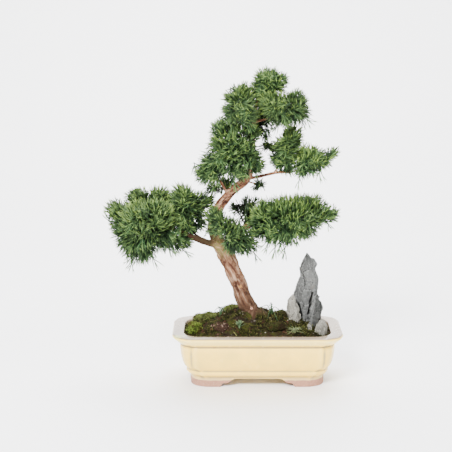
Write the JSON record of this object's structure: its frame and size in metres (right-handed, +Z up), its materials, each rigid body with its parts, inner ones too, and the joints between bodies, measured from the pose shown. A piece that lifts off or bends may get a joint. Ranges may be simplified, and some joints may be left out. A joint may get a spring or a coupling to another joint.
{
  "type": "chinese juniper bonsai",
  "caption": "Informal upright juniper bonsai with layered foliage pads in a cream glazed rectangular pot with indented corners, with slate stones, moss and small weeds on the soil.",
  "frame": {"origin": "on the table under the middle of the whole object's bounding box", "axes": "+Z up, +X to the right as seen from the front, -Y towards the viewer, along the pot's short side"},
  "size_m": [0.2364, 0.096, 0.3166],
  "materials": {
    "glaze": "gloss",
    "screen": "matte",
    "soil": "matte",
    "bark": "matte",
    "slate": "matte",
    "slate_pale": "matte",
    "moss_bright": "matte",
    "moss_dark": "matte",
    "clay": "matte",
    "weed": "matte",
    "grass": "matte",
    "foliage": "matte",
    "foliage_shade": "matte"
  },
  "bodies": {
    "root": {"pot": "glaze", "drain_screen_left": "screen", "drain_screen_right": "screen", "soil": "soil", "trunk_and_branches": "bark", "rock_tall": "slate", "rock_left": "slate_pale", "rock_right": "slate", "rock_low": "slate_pale", "rock_chip": "slate_pale", "moss_bright": "moss_bright", "moss_left": "moss_dark", "moss_middle": "moss_dark", "moss_right": "moss_dark", "moss_front": "moss_dark", "clay_lump": "clay", "seedling": "weed", "moss_sprig": "grass", "dark_weed": "weed", "grass_tuft": "grass", "foliage_left_front": "foliage", "foliage_left_back": "foliage", "foliage_left_inner": "foliage", "foliage_centre": "foliage", "foliage_right_front": "foliage", "foliage_right_back": "foliage_shade", "foliage_low_back": "foliage_shade", "foliage_upper_left": "foliage", "foliage_upper_back": "foliage_shade", "foliage_upper_dark": "foliage_shade", "foliage_crown_left": "foliage", "foliage_crown_top": "foliage", "foliage_crown_right": "foliage", "foliage_crown_back": "foliage_shade", "foliage_right_mid": "foliage", "foliage_right_mid_back": "foliage_shade", "foliage_right_mid_tip": "foliage", "foliage_under_tuft": "foliage_shade"}
  },
  "joints": []
}
